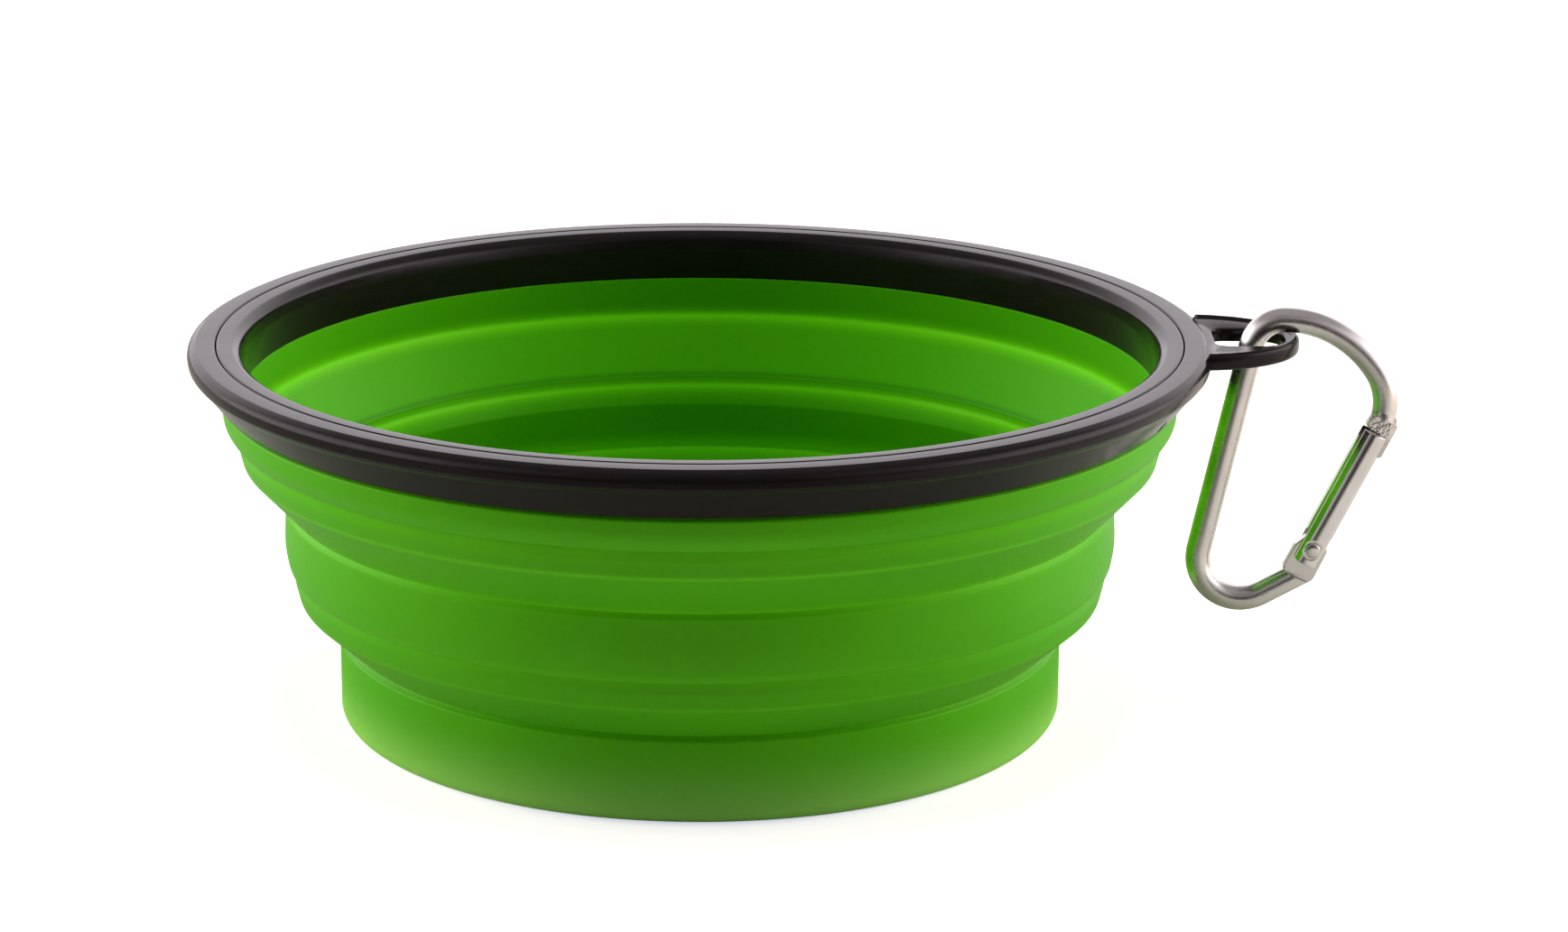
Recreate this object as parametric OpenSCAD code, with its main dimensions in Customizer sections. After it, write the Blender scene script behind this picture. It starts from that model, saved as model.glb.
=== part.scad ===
// Collapsible silicone travel bowl: three stepped walls joined by two thin folds, a rim made of
// two clamped rings with a slotted hanging tab, and a small sprung clip hung through the slot.
// The origin is the centre of the underside, +Z is up and the tab points along +X.

/* [Silicone walls] */
// Outer radius of the top wall
top_wall_r = 60.1; // [58.5:0.1:64]
// Outer radius of the middle wall
mid_wall_r = 53.3; // [51.5:0.1:54.5]
// Outer radius of the base wall
base_wall_r = 46.5; // [44:0.1:48]
// Thickness of the three walls
wall_t = 2.1; // [1.6:0.1:2.6]
// Thickness of the floor
floor_t = 2.2; // [1.4:0.1:3.5]
// Height of the base wall, from the underside to the lower fold
base_wall_h = 11.2; // [9.5:0.1:14]
// Height of the middle wall
mid_wall_h = 8.7; // [7.5:0.1:11]
// Height of the top wall that shows below the rim
top_wall_h = 4.5; // [3.5:0.1:9]
// Radius of the rounded edge under the base
foot_round = 0.9; // [0.3:0.1:1.6]
// Radius where the base wall runs into the floor
floor_round = 3.0; // [1:0.5:6]

/* [Folds] */
// Height of the lower fold
lower_fold_h = 8.8; // [7.5:0.1:10]
// Height of the upper fold
upper_fold_h = 9.7; // [8.5:0.1:11]
// How far the outside of a fold stands in from the wall above it
step_in = 1.2; // [0.8:0.1:1.5]
// Radius of the rounded lower edge of a wall
edge_round = 2.5; // [1.5:0.1:3]
// Height of the straight collar at the top of a fold
collar_h = 1.7; // [1:0.1:2.2]
// Radius of the rounded belly of a fold
belly_round = 5.0; // [3.5:0.1:6]
// How far a fold's foot stands in from the wall below it
foot_in = 0.6; // [0.3:0.1:1]
// Height of the shoulder inside the top of a lower wall
shoulder_h = 3.7; // [3:0.1:4.5]
// Gap that parts a fold from the walls it hinges on
hinge_gap = 0.04; // [0.02:0.01:0.1]

/* [Rim] */
// Height of the rim
rim_h = 6.6; // [6:0.1:9]
// How far the rim stands out beyond the top wall
rim_reach = 4.9; // [4:0.1:7]
// Width of the inner ring's top face
inner_ring_w = 3.35; // [3:0.05:4.5]
// Thickness of the inner ring's flange
flange_t = 1.7; // [1.2:0.1:2.2]
// Thickness of the wall's clamped top between the rings
clamp_t = 1.05; // [0.8:0.05:1.3]
// Height of the bead that the rings hold
bead_h = 1.3; // [0.9:0.1:1.6]
// Clearance between the clamped pieces
ring_gap = 0.05; // [0.03:0.01:0.12]
// Radius of the two small holes in the skirt beside the tab
skirt_hole_r = 0.75; // [0.5:0.05:1]
// Angle of each skirt hole from the middle of the tab
skirt_hole_angle = 24; // [20:1:40]

/* [Tab] */
// How far the tab reaches beyond the rim
tab_reach = 11.2; // [10.5:0.1:14]
// Width of the tab
tab_w = 20.2; // [17:0.1:24]
// Thickness of the tab at its raised edge
tab_t = 2.2; // [1.8:0.1:2.6]
// Height of the tab's raised edge above its flat face
tab_edge_h = 0.4; // [0.2:0.05:0.6]
// Width of the tab's raised edge
tab_edge_w = 1.1; // [0.8:0.1:1.4]
// Width of the slot across the tab
slot_w = 8.9; // [7:0.1:11]
// Thickness of the bar between the slot and the tab's tip
bar_w = 1.9; // [1.6:0.1:2.4]
// Radius of the slot's corners
slot_round = 1.6; // [0.8:0.1:2.5]

/* [Clip] */
// Diameter of the clip's wire
wire_d = 3.2; // [2.8:0.1:3.6]
// Length of the straight spine
spine_len = 27.6; // [20:0.1:34]
// Lean of the spine from upright
spine_lean = 12.2; // [8:0.1:14]
// Radius of the tight bend over the bar, at the middle of the wire
hook_r = 4.25; // [3.9:0.05:5]
// Radius of the bend at the foot of the spine, at the middle of the wire
heel_r = 5.6; // [5:0.1:7]
// Turn of the bend at the foot of the spine
heel_turn = 131; // [128:0.5:138]
// Length of wire from the foot bend to the hinge boss
toe_len = 5.1; // [4.2:0.1:6]
// Radius of the shallow bend beyond the bar
crown_r = 13.4; // [12:0.1:18]
// Radius of the bend beyond the shallow one
brow_r = 15.4; // [12:0.1:17]
// Radius of the bend above the nose
cheek_r = 7.8; // [6:0.1:9]
// Length of straight wire above the nose
nose_len = 0.6; // [0.4:0.1:2]

/* [Gate] */
// Outer diameter of the gate tube
gate_d = 3.7; // [3.6:0.1:4.2]
// Wall thickness of the gate tube
gate_wall = 0.5; // [0.35:0.05:0.6]
// Thickness of the flattened hinge boss and nose
blade_t = 1.5; // [1.2:0.1:1.7]
// Width of the slots in the gate tube
gate_slot_w = 1.8; // [1.75:0.05:2]
// Radius of the rivet's shank
rivet_r = 0.6; // [0.5:0.05:0.75]
// Radius of the rivet's heads
rivet_head_r = 1.05; // [0.9:0.05:1.3]
// Height of each rivet head
rivet_head_h = 0.4; // [0.3:0.05:0.6]
// Running clearance of the rivet in the hinge boss
rivet_gap = 0.05; // [0.02:0.01:0.09]
// Diameter of the spring's wire
spring_wire_d = 0.35; // [0.25:0.05:0.4]
// Turns of the spring
spring_turns = 7; // [5:1:9]
// Length of the plunger
plunger_len = 2.4; // [1.8:0.1:3]

/* [Hidden] */
$fn = 96;

// Heights of the seams between the walls and the folds
lower_seam_z = base_wall_h;
mid_foot_z = lower_seam_z + lower_fold_h;
upper_seam_z = mid_foot_z + mid_wall_h;
top_foot_z = upper_seam_z + upper_fold_h;
rim_foot_z = top_foot_z + top_wall_h;
rim_top_z = rim_foot_z + rim_h;

// Wall profile shared by every step
edge_sweep = 55;
belly_sweep = 45;
arc_steps = 6;
shoulder_share = 0.38;
shoulder_lip_share = 0.45;
crease_drop_share = 0.55;
overrun = 1;

// Rim sections
rim_r = top_wall_r + rim_reach;
bore_r = top_wall_r - wall_t;
clamp_r = top_wall_r - clamp_t;
leg_r = clamp_r - ring_gap;
flange_r = bore_r + inner_ring_w;
seat_r = top_wall_r + ring_gap;
bead_r = flange_r - ring_gap;
bead_top_z = rim_top_z - flange_t - ring_gap;
bead_foot_z = bead_top_z - bead_h;
top_edge_in = 0.75;
top_edge_drop = 0.45;
outer_edge_drop = 1.4;
lip_in = 0.55;
lip_drop = 2.6;
lip_step = 0.45;
lip_step_drop = 0.35;
skirt_t = 0.95;
ring_chamfer = 0.25;
inner_edge_round = 0.7;

// Tab and its slot
tab_chamfer = 0.35;
tab_proud = 0.3;
tab_top_z = rim_top_z + tab_proud;
tab_foot_z = tab_top_z - tab_t;
tab_face_z = tab_top_z - tab_edge_h;
tip_x = rim_r + tab_reach;
slot_out_x = tip_x - bar_w;
slot_step = 0.25;
slot_in_x = rim_r + tab_chamfer;
tab_root_x = rim_r - skirt_t - lip_in;
edge_root_x = rim_r - top_edge_in;
tab_curve_share = 0.22;
tab_curve_x = rim_r + tab_reach * tab_curve_share;
tab_curve_steps = 24;
bar_x = tip_x - bar_w / 2;
bar_z = tab_top_z - tab_t / 2;
skirt_hole_share = 0.22;
skirt_hole_z = rim_foot_z + rim_h * skirt_hole_share;

// The clip's middle line, walked from the point of the bend that lies highest over the bar.
// A step is [radius, turn] for a bend, with turns to the left above zero, or [0, length].
bar_gap = 0.3;
hang_back_share = 0.218;
crown_turn = 27.6;
brow_turn = 29;
cheek_turn = 42.8;
toe_over = wire_d / 2;
nose_over = wire_d / 4;
weld_half = 0.1;
weld_proud = 0.03;
hook_top = [-hook_r * hang_back_share, tab_t / 2 + bar_gap + wire_d / 2];
spine_steps = [[hook_r, 90 - spine_lean], [0, spine_len], [heel_r, heel_turn],
    [0, toe_len + toe_over]];
crown_steps = [[crown_r, -crown_turn], [brow_r, -brow_turn], [cheek_r, -cheek_turn],
    [0, nose_len + nose_over]];
spine_walk = walk([hook_top, 180], spine_steps);
crown_walk = walk([hook_top, 0], crown_steps);
toe_end = spine_walk[len(spine_steps)][0] - toe_over * ahead(spine_walk[len(spine_steps)][1]);
nose_end = crown_walk[len(crown_steps)][0] - nose_over * ahead(crown_walk[len(crown_steps)][1]);

// Gate line from the toe of the wire to its nose: places along it are counted from the rivet
gate_line = nose_end - toe_end;
gate_angle = atan2(gate_line[1], gate_line[0]);
boss_len = 4.2;
rivet_at = toe_end + boss_len * ahead(gate_angle);
nose_at = norm(gate_line) - boss_len;
nose_blade_len = 1.9;
end_gap = 0.2;
gate_top = nose_at - nose_blade_len - end_gap;
gate_foot_share = 0.58;
gate_foot = -gate_d * gate_foot_share;
tongue_len = 2.9;
tongue_t = 1.5;
tongue_proud = 0.35;
tongue_round = 0.45;
notch_len = 1.2;
hinge_reach = 2.0;
hinge_half = 1.35;
boss_share = 0.58;
boss_half = gate_d * boss_share;
boss_corner_share = 0.9;
boss_low_share = 0.8;
boss_high_share = 0.14;
slot_gap = 0.15;

// Spring and plunger in the gate's bore
bore_d = gate_d - 2 * gate_wall;
plunger_gap = 0.14;
plunger_play = 0.12;
plunger_r = bore_d / 2 - plunger_gap;
plunger_foot = hinge_reach + plunger_play;
spring_foot = plunger_foot + plunger_len;
bore_top = gate_top - tongue_len - gate_wall - slot_gap;
spring_r = bore_d / 2 - plunger_gap - spring_wire_d / 2;
spring_len = bore_top - spring_foot;
spring_ring_steps = 14;
spring_sides = 6;

// Points of an arc about a centre, from one angle to another
function arc_points(centre, radius, from, to, steps = arc_steps) =
    [for (i = [0 : steps]) let (a = from + (to - from) * i / steps) centre + radius * [cos(a), sin(a)]];

// A step of one unit along a heading
function ahead(heading) = [cos(heading), sin(heading)];

// Place and heading after one step of a wire
function advance(at, move) = move[0] == 0
    ? [at[0] + move[1] * ahead(at[1]), at[1]]
    : let (side = move[0] * sign(move[1]), centre = at[0] + side * [-sin(at[1]), cos(at[1])],
        heading = at[1] + move[1]) [centre - side * [-sin(heading), cos(heading)], heading];

// Every place and heading along a wire
function walk(at, moves, i = 0) = i == len(moves) ? [at]
    : concat([at], walk(advance(at, moves[i]), moves, i + 1));

// Outside of a wall from its top down to its rounded foot
function wall_outside(radius, top_z, foot_z) = concat([[radius, top_z]],
    arc_points([radius - edge_round, foot_z + edge_round * sin(edge_sweep)], edge_round, 0, -edge_sweep));

// Outside of a fold from its collar under the wall above down to the wall below
function fold_outside(radius, top_z, low_radius, low_z) = concat([[radius - step_in, top_z]],
    arc_points([radius - step_in - belly_round, top_z - collar_h], belly_round, 0, -belly_sweep),
    [[low_radius - foot_in, low_z]]);

// Inside of a fold, from its foot up to the crease under the wall above
function fold_inside(radius, top_z, low_radius, low_z) =
    [[crest_r(low_radius), crest_z(low_z)], [radius - wall_t, top_z - step_in * crease_drop_share]];

// The crest inside a wall's top edge, where the fold above it starts
function crest_r(radius) = radius - wall_t * shoulder_lip_share;
function crest_z(seam_z) = seam_z + shoulder_h * shoulder_share;

// Inside of a wall's top edge, from the straight wall up over the shoulder to the crest
function shoulder_inside(radius, seam_z) =
    let (lip = crest_r(radius), deep = radius - wall_t, rise = shoulder_h * shoulder_share,
        mid_r = deep + (lip - deep) * (1 - shoulder_share))
    [[deep, crest_z(seam_z) - shoulder_h], [mid_r, crest_z(seam_z) - rise],
        [lip - (lip - mid_r) * shoulder_share, crest_z(seam_z) - rise * (1 - shoulder_share)],
        [lip, crest_z(seam_z)]];

// A ring of revolution from an outline in radius and height
module revolve(outline) {
    rotate_extrude() polygon(outline);
}

// Outline of the floor and the base wall
function base_outline() = concat(
    [[0, 0]],
    arc_points([base_wall_r - foot_round, foot_round], foot_round, -90, 0),
    [[base_wall_r, lower_seam_z - foot_in], [base_wall_r - foot_in, lower_seam_z]],
    [for (i = [3 : -1 : 0]) shoulder_inside(base_wall_r, lower_seam_z)[i]],
    arc_points([base_wall_r - wall_t - floor_round, floor_t + floor_round], floor_round, 0, -90),
    [[0, floor_t]]);

// Outline of the middle wall, with the crest that the upper fold hinges on
function middle_outline() = concat(
    [[mid_wall_r - foot_in, upper_seam_z], [mid_wall_r, upper_seam_z - foot_in]],
    wall_outside(mid_wall_r, upper_seam_z - foot_in, mid_foot_z),
    [[mid_wall_r - step_in, mid_foot_z],
        [mid_wall_r - wall_t, mid_foot_z - step_in * crease_drop_share]],
    shoulder_inside(mid_wall_r, upper_seam_z));

// Floor and base wall in one moulding
module base() {
    color("yellowgreen") revolve(base_outline());
}

// One living hinge between a wall and the next wall down, kept clear of the wall that it stands on
module fold(radius, top_z, low_radius, low_z, wall_below) {
    top = top_z - hinge_gap;
    low = low_z + hinge_gap;
    rotate_extrude() difference() {
        polygon(concat(fold_outside(radius, top, low_radius, low), fold_inside(radius, top, low_radius, low)));
        translate([0, hinge_gap / 2]) polygon(wall_below);
    }
}

// Fold that turns inside out when the middle wall is pushed down
module fold_lower() {
    color("limegreen") fold(mid_wall_r, mid_foot_z, base_wall_r, lower_seam_z, base_outline());
}

// Middle wall
module wall_middle() {
    color("yellowgreen") revolve(middle_outline());
}

// Fold that turns inside out when the rim is pushed down
module fold_upper() {
    color("limegreen") fold(top_wall_r, top_foot_z, mid_wall_r, upper_seam_z, middle_outline());
}

// Top wall, thinned where the two rings clamp it, with the bead that they hold
module wall_top() {
    color("yellowgreen") revolve(concat(
        [[bead_r, bead_top_z], [bead_r, bead_foot_z], [top_wall_r, bead_foot_z]],
        wall_outside(top_wall_r, bead_foot_z, top_foot_z),
        [[top_wall_r - step_in, top_foot_z],
            [bore_r, top_foot_z - step_in * crease_drop_share],
            [bore_r, rim_foot_z - ring_gap],
            [clamp_r, rim_foot_z - ring_gap],
            [clamp_r, bead_top_z]]));
}

// Inner ring: a leg against the wall and a flange that covers the bead
module inner_ring() {
    color("dimgray") revolve(concat(
        [[bore_r, rim_foot_z], [leg_r, rim_foot_z], [leg_r, bead_top_z + ring_gap],
            [flange_r, bead_top_z + ring_gap], [flange_r, rim_top_z - ring_chamfer],
            [flange_r - ring_chamfer, rim_top_z]],
        arc_points([bore_r + inner_edge_round, rim_top_z - ring_chamfer - inner_edge_round],
            inner_edge_round, 90, 180)));
}

// Section of the outer ring: flat top, rounded outside, small lip and a skirt that slopes in
module outer_ring_section() {
    in_r = flange_r + ring_gap;
    polygon(concat(
        [[seat_r, rim_foot_z], [seat_r + skirt_t, rim_foot_z],
            [rim_r - lip_in - lip_step, rim_top_z - lip_drop - lip_step_drop],
            [rim_r - lip_in, rim_top_z - lip_drop],
            [rim_r, rim_top_z - outer_edge_drop],
            [rim_r - top_edge_in * shoulder_share, rim_top_z - top_edge_drop],
            [rim_r - top_edge_in, rim_top_z]],
        [[in_r + ring_chamfer, rim_top_z], [in_r, rim_top_z - ring_chamfer],
            [in_r, bead_foot_z - ring_gap], [seat_r, bead_foot_z - ring_gap]]));
}

// Outline of the tab from its root, drawn in by an inset
module tab_outline(inset, root_x = tab_root_x) {
    half = tab_w / 2 - inset;
    polygon(concat([[root_x, -half]],
        [for (i = [0 : tab_curve_steps]) let (a = -90 + 180 * i / tab_curve_steps)
            [tab_curve_x + (tip_x - inset - tab_curve_x) * cos(a), half * sin(a)]],
        [[root_x, half]]));
}

// Outline of the slot, let out on every side for its stepped edges
module slot_outline(out) {
    corner = slot_round + out;
    half = slot_w / 2 + out;
    low_x = slot_in_x - out;
    high_x = slot_out_x + out;
    translate([low_x, corner - half]) square([high_x - low_x, 2 * (half - corner)]);
    translate([low_x + corner, -half]) square([high_x - low_x - 2 * corner, 2 * half]);
    for (x = [low_x + corner, high_x - corner], side = [-1, 1])
        translate([x, side * (half - corner)]) circle(corner);
}

// Flat tab with a raised edge all round it and a slot, which leaves a bar at its tip
module tab() {
    difference() {
        union() {
            translate([0, 0, tab_foot_z]) linear_extrude(tab_face_z - tab_foot_z) tab_outline(tab_chamfer);
            translate([0, 0, tab_foot_z + tab_chamfer])
                linear_extrude(tab_face_z - tab_foot_z - tab_chamfer) tab_outline(0);
            difference() {
                union() {
                    translate([0, 0, tab_foot_z + tab_chamfer])
                        linear_extrude(tab_t - tab_chamfer) tab_outline(tab_chamfer, edge_root_x);
                    translate([0, 0, tab_foot_z + tab_chamfer])
                        linear_extrude(tab_t - 2 * tab_chamfer) tab_outline(0, edge_root_x);
                }
                translate([0, 0, tab_face_z]) linear_extrude(tab_t) tab_outline(tab_edge_w);
            }
        }
        translate([0, 0, tab_foot_z - overrun]) linear_extrude(tab_t + 2 * overrun) slot_outline(0);
        translate([0, 0, tab_foot_z - overrun]) linear_extrude(slot_step + overrun) slot_outline(slot_step);
        translate([0, 0, tab_face_z - slot_step]) linear_extrude(tab_t) slot_outline(slot_step);
    }
}

// Outer ring with the tab, and a small hole through the skirt on each side of it
module outer_ring() {
    color("dimgray") difference() {
        union() {
            rotate_extrude() outer_ring_section();
            tab();
        }
        for (side = [-1, 1])
            rotate([0, 0, side * skirt_hole_angle]) translate([seat_r - overrun, 0, skirt_hole_z])
                rotate([0, 90, 0]) cylinder(h = rim_reach + 2 * overrun, r = skirt_hole_r, $fn = 32);
    }
}

// Stand a drawing made in the plane of the clip at the bar, upright across the tab
module at_bar() {
    translate([bar_x, 0, bar_z]) rotate([90, 0, 0]) children();
}

// Lay a drawing along the gate's line, from the rivet towards the nose, with +Y out of the clip
module along_gate() {
    at_bar() translate(rivet_at) rotate(gate_angle) mirror([0, 1, 0]) children();
}

// One bend or straight length of the wire
module wire_step(at, move) {
    if (move[0] == 0)
        translate(at[0]) rotate([90, 0, at[1] + 90]) cylinder(h = move[1], d = wire_d);
    else {
        side = sign(move[1]);
        centre = at[0] + side * move[0] * [-sin(at[1]), cos(at[1])];
        start = at[1] - side * 90;
        translate(centre) rotate(min(start, start + move[1]))
            rotate_extrude(angle = abs(move[1])) translate([move[0], 0]) circle(d = wire_d);
    }
}

// Thin collar that welds two steps of the wire at their shared end
module wire_weld(at) {
    translate(at[0]) rotate([90, 0, at[1] + 90])
        cylinder(h = 2 * weld_half, d = wire_d + 2 * weld_proud, center = true);
}

// Steps of the wire from one to another, each welded to the step before it
module wire_run(places, moves, from, to) {
    union() {
        for (i = [from : to]) wire_step(places[i], moves[i]);
        for (i = [from + 1 : to]) wire_weld(places[i]);
    }
    wire_weld(places[from]);
}

// Flat blade in the plane of the clip, from points along and across the gate's line
module blade(points, thick = blade_t) {
    translate([0, 0, -thick / 2]) linear_extrude(thick) polygon(points);
}

// Bent wire with a flattened hinge boss at its toe and a flattened, hooked nose
module clip_body() {
    blade_half = wire_d / 2;
    lip = gate_d / 2 + tongue_proud;
    color("silver") difference() {
        union() {
            at_bar() {
                wire_run(spine_walk, spine_steps, 0, len(spine_steps) - 1);
                wire_run(crown_walk, crown_steps, 0, 1);
                wire_run(crown_walk, crown_steps, 2, len(crown_steps) - 1);
            }
            along_gate() {
                blade([[-boss_len - blade_half, -blade_half], [-boss_len, -boss_half * boss_corner_share],
                    [-boss_len * boss_low_share, -boss_half], [-boss_len * boss_high_share, -boss_half],
                    [0, -boss_half * boss_corner_share], [hinge_half, -hinge_half],
                    [hinge_reach, -hinge_half + slot_gap], [hinge_reach, hinge_half - slot_gap],
                    [hinge_half, hinge_half], [boss_len * boss_high_share, boss_half * boss_corner_share],
                    [-boss_len * boss_high_share, boss_half], [-boss_len * boss_low_share, boss_half],
                    [-boss_len, boss_half * boss_corner_share], [-boss_len - blade_half, 0]]);
                blade([[nose_at + blade_half, -blade_half], [nose_at - nose_blade_len, -blade_half],
                    [nose_at - nose_blade_len, lip - tongue_t],
                    [gate_top - tongue_len + tongue_round, lip - tongue_t],
                    [gate_top - tongue_len, lip - tongue_t + tongue_round],
                    [gate_top - tongue_len, lip - tongue_round],
                    [gate_top - tongue_len + tongue_round, lip],
                    [nose_at - tongue_round, lip], [nose_at + blade_half, blade_half]]);
            }
        }
        along_gate() translate([0, 0, -wire_d]) cylinder(h = 2 * wire_d, r = rivet_r + rivet_gap);
        along_gate() for (side = [-1, 1])
            translate([-boss_len, -gate_d, side * (blade_t / 2 + wire_d) - wire_d])
                cube([boss_len + hinge_reach + overrun, 2 * gate_d, 2 * wire_d]);
        along_gate() for (side = [-1, 1])
            translate([gate_top - tongue_len - overrun, -gate_d, side * (blade_t / 2 + wire_d) - wire_d])
                cube([tongue_len + end_gap + nose_blade_len + overrun, 2 * gate_d, 2 * wire_d]);
    }
}

// Tube that closes the clip, slotted at its foot for the boss and at its top for the nose
module clip_gate() {
    slot_foot = gate_top - tongue_len - slot_gap;
    color("lightgray") along_gate() difference() {
        translate([gate_foot, 0, 0]) rotate([0, 90, 0]) cylinder(h = gate_top - gate_foot, d = gate_d);
        translate([gate_foot - overrun, 0, 0]) rotate([0, 90, 0])
            cylinder(h = bore_top - gate_foot + overrun, d = bore_d);
        translate([gate_foot - overrun, -gate_d, -gate_slot_w / 2])
            cube([plunger_foot + overrun - gate_foot, 2 * gate_d, gate_slot_w]);
        translate([slot_foot, gate_d / 2 + tongue_proud - tongue_t - slot_gap, -gate_slot_w / 2])
            cube([gate_top - slot_foot + overrun, gate_d, gate_slot_w]);
        translate([gate_top - notch_len, -gate_d, -gate_slot_w / 2])
            cube([notch_len + overrun, 2 * gate_d, gate_slot_w]);
        translate([0, 0, -gate_d]) cylinder(h = 2 * gate_d, r = rivet_r);
        for (side = [-1, 1])
            translate([0, 0, side * (gate_d / 2 - rivet_head_h / 2 + overrun / 2)])
                cylinder(h = rivet_head_h + overrun, r = rivet_head_r, center = true);
    }
}

// Rivet through the gate's cheeks and the boss, with a head on each side
module gate_rivet() {
    seat = gate_d / 2 - rivet_head_h;
    color("gainsboro") along_gate() {
        translate([0, 0, -seat]) cylinder(h = 2 * seat, r = rivet_r);
        for (side = [-1, 1])
            translate([0, 0, side * (seat + rivet_head_h / 2)])
                cylinder(h = rivet_head_h, r = rivet_head_r, center = true);
    }
}

// Plunger in the gate's bore, which the spring presses against the end of the boss
module gate_plunger() {
    color("gray") along_gate() translate([plunger_foot, 0, 0]) rotate([0, 90, 0])
        cylinder(h = plunger_len, r = plunger_r);
}

// Points of one ring of the spring's wire
function spring_ring(turn_angle, along) = [for (i = [0 : spring_sides - 1]) let (a = 360 * i / spring_sides,
    out = spring_r + spring_wire_d / 2 * cos(a), up = spring_wire_d / 2 * sin(a))
    [along + up, out * cos(turn_angle), out * sin(turn_angle)]];

// Compression spring between the plunger and the blind end of the bore
module gate_spring() {
    rings = spring_turns * spring_ring_steps;
    rise = spring_len - 2 * spring_wire_d;
    points = [for (k = [0 : rings]) each spring_ring(360 * k / spring_ring_steps,
        spring_foot + spring_wire_d + rise * k / rings)];
    sides = [for (k = [0 : rings - 1], i = [0 : spring_sides - 1])
        let (a = k * spring_sides + i, b = k * spring_sides + (i + 1) % spring_sides)
        each [[a, b, a + spring_sides], [b, b + spring_sides, a + spring_sides]]];
    last = rings * spring_sides;
    ends = [for (i = [1 : spring_sides - 2]) each [[0, i + 1, i], [last, last + i, last + i + 1]]];
    color("darkgray") along_gate() polyhedron(points, concat(sides, ends));
}

base();
fold_lower();
wall_middle();
fold_upper();
wall_top();
inner_ring();
outer_ring();
clip_body();
clip_gate();
gate_rivet();
gate_plunger();
gate_spring();
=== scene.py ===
"""Collapsible silicone travel bowl with a two-ring rim, a slotted hanging tab and a sprung clip."""
import math

import bmesh
import bpy
from mathutils import Matrix, Vector


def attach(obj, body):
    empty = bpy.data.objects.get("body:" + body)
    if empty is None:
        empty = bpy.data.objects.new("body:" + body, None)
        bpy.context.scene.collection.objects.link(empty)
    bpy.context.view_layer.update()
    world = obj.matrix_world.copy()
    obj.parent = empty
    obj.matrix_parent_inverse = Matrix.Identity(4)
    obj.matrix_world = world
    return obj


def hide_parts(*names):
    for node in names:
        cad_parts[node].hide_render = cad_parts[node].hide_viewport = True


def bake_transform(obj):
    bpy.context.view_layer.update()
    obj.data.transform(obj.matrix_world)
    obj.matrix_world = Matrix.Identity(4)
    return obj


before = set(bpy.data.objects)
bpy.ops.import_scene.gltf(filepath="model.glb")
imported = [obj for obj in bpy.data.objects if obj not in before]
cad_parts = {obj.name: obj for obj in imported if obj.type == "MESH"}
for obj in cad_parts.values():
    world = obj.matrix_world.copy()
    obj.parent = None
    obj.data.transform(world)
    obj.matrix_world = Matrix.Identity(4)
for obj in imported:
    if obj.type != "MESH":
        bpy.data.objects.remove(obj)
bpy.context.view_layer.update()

# Outlines are written in millimetres and built in metres
MM = 0.001
SEGMENTS = 320
ARC_STEP = math.radians(7)
SHARP_ANGLE = math.radians(32)
ROUNDING_SHARE = 0.49
ON_AXIS = 1e-6
CUT_OVER = 1

# Photograph, its focal length in its own pixels, and the camera in metres and degrees
PHOTO_WIDTH = 1737
PHOTO_FOCAL = 4877
SENSOR_WIDTH = 36
CAMERA_PLACE = (0.0107, -0.5441, 0.1862)
CAMERA_PITCH = 15.83
CAMERA_ROLL = 0.36
CAMERA_SPAN = (0.01, 50)

# Softboxes in metres, one on each side and one overhead
WHITE = (1, 1, 1)
SIDE_PLACE = (0.85, 0.24, 0.30)
SIDE_SIZE = (1.1, 0.55)
SIDE_RADIANCE = 7.1
SIDE_COLOUR = (1.08, 0.82, 0.65)
TOP_PLACE = (0.0, -0.10, 0.90)
TOP_SIZE = (0.5, 0.25)
TOP_RADIANCE = 10.0
LAMP_AIM = (0, 0, 0.03)

# Room levels, where 1 shows as white, and the spans of a direction in which they change
ROOM_FILL = 0.06
ROOM_DARK = 0.05
DARK_SPAN = (-0.95, -0.45)
HORIZON = 1.55
CEILING = 0.40
CEILING_SPAN = (0.42, 0.72)
SIDE_SHINE = 1.87
SIDE_SPAN = (0.75, 0.95)
ROOM_TINT = (1.0, 0.945, 0.985)

# Floor levels, and the spans in metres in which they change
FLOOR_HALF = 4
FLOOR_ROUGHNESS = 0.9
FLOOR_GLOW = 0.66
FLOOR_EDGE = 0.22
FLOOR_TINT = (0.84, 0.85, 1.0)
FLOOR_PALE = 0.90
FLOOR_NEAR = (0.37, 0.41, 0.42)
FLOOR_BESIDE = (0.80, 0.87, 0.91)
FLOOR_FAR = 0.067
FRONT_SPAN = (-0.20, -0.05)
BESIDE_SPAN = (0.06, 0.10)
ASIDE_SPAN = (0.03, 1.03)
ASIDE_LEAN = 0.7

# Silicone colours, as linear light
SILICONE_DEEP = (0.044, 0.340, 0.0003)
SILICONE_LIGHT = (0.053, 0.368, 0.0006)
SILICONE_GRAIN = (0.063, 0.398, 0.0012)
# Painted highlight for the rounded creases
SILICONE_CREASE_HIGHLIGHT = (0.125, 0.640, 0.003)
# Painted bounce light from the floor, on the foot
SILICONE_PAINTED_BOUNCE = (0.250, 0.660, 0.145)
SILICONE_SHADED = (0.020, 0.210, 0.001)
SILICONE_SPECK = (0.022, 0.100, 0.003)
SILICONE_ROUGH = (0.38, 0.48)
GRAIN_SHARE = 0.2
SPECK_SHARE = 0.15

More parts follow.
